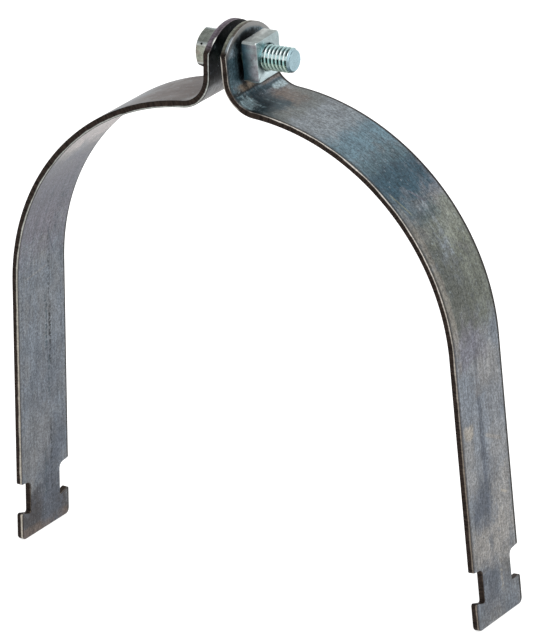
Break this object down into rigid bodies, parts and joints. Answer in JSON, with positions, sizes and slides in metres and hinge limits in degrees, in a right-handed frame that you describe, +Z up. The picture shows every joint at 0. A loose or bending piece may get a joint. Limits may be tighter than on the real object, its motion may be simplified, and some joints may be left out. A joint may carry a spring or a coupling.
{
  "type": "strut pipe clamp",
  "caption": "Steel strap clamp in halves that hook into a strut channel and are drawn round a pipe by a hex head screw and a square nut",
  "frame": {"origin": "on the floor under the middle of the clamp, midway between its feet", "axes": "+X along the screw from its head towards its nut, +Y along the pipe away from the front, +Z up from the feet to the ears"},
  "size_m": [0.2034, 0.0318, 0.2164],
  "materials": {
    "strap_steel": "dark oiled mill finish, blue-grey with brown staining and fine lengthwise drawing marks",
    "zinc_plate": "bright zinc plate with a cool blue-white shine"
  },
  "bodies": {
    "left_half": {"left_strap": "strap_steel"},
    "right_half": {"right_strap": "strap_steel"},
    "screw": {"clamp_screw": "zinc_plate"},
    "nut": {"square_nut": "zinc_plate"}
  },
  "joints": [
    {"name": "strap_slide", "type": "slide", "parent": "left_half", "child": "right_half", "axis": [1, 0, 0], "range_m": [-0.0034, 0.0102]},
    {"name": "nut_slide", "type": "slide", "parent": "left_half", "child": "nut", "axis": [1, 0, 0], "range_m": [-0.0034, 0.0102]},
    {"name": "screw_turn", "type": "hinge", "parent": "left_half", "child": "screw", "pos_m": [0, 0, 0.2046], "axis": [1, 0, 0], "range_deg": [-2320, 780]}
  ],
  "couplings": [
    {"joint": "nut_slide", "follows": "strap_slide", "ratio": 1},
    {"joint": "screw_turn", "follows": "strap_slide", "rad_per_m": -3957.9}
  ]
}
